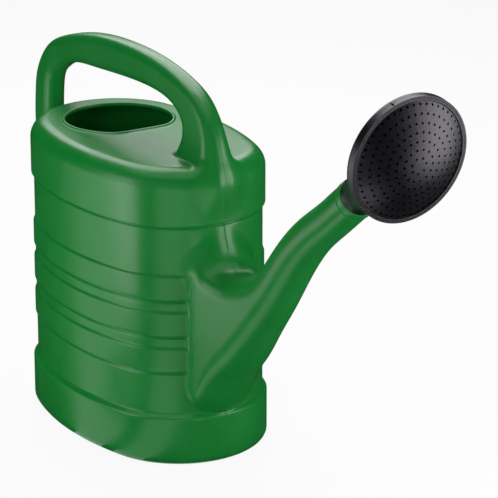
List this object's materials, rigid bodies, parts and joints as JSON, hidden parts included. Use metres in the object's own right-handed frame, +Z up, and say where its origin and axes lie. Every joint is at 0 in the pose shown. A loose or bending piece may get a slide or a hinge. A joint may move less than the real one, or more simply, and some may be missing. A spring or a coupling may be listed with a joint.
{
  "type": "watering can",
  "caption": "Oval plastic watering can with a bow handle, a long moulded spout and a push-on rose with a domed, perforated face.",
  "frame": {"origin": "centre of the tank's flat base, on the surface that the can stands on", "axes": "+X from the tank towards the spout and rose, +Y across the can, +Z up; Y=0 is the moulding's parting plane"},
  "size_m": [0.6494, 0.1834, 0.4255],
  "materials": {
    "green_plastic": "semi-gloss, as blown",
    "black_plastic": "semi-gloss, injection moulded"
  },
  "bodies": {
    "can": {"tank": "green_plastic", "handle": "green_plastic", "spout": "green_plastic"},
    "rose": {"rose_shell": "black_plastic"},
    "face": {"rose_plate": "black_plastic"}
  },
  "joints": [
    {"name": "rose_turn", "type": "hinge", "parent": "can", "child": "rose", "pos_m": [0.3546, 0, 0.3177], "axis": [0.7771, 0, 0.6293], "continuous": true},
    {"name": "plate_pull", "type": "slide", "parent": "rose", "child": "face", "axis": [0.9882, 0, -0.153], "range_m": [0, 0.02]}
  ]
}
